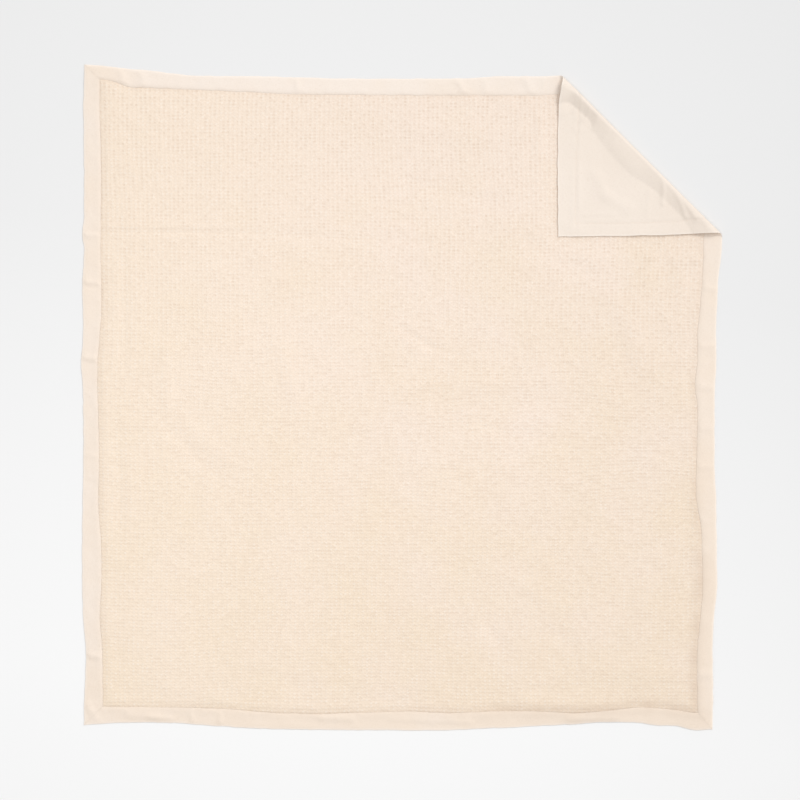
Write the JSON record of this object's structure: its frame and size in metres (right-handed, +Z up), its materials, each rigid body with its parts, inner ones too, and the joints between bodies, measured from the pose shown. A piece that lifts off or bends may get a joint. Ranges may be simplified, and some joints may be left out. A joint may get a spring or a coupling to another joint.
{
  "type": "duvet cover",
  "caption": "Flat duvet cover with a small-celled waffle textured centre, a plain mitred flange all round and one corner turned over.",
  "frame": {"origin": "middle of the bounding box at the height of the surface that the cover lies on", "axes": "+Z up and out of the face, +Y along the cover's length towards the turned corner, +X along its width towards the turned corner"},
  "size_m": [2.2642, 2.3518, 0.0202],
  "materials": {
    "waffle_cloth": "matt cream cotton with a small-celled waffle weave",
    "flange_cloth": "matt cream plain-woven cotton, slightly creased",
    "back_cloth": "matt pale cream plain-woven cotton, smooth"
  },
  "bodies": {
    "root": {"back_panel": "back_cloth", "face_panel": "waffle_cloth", "flange_top": "flange_cloth", "flange_right": "flange_cloth", "flange_bottom": "flange_cloth", "flange_left": "flange_cloth"}
  },
  "joints": []
}
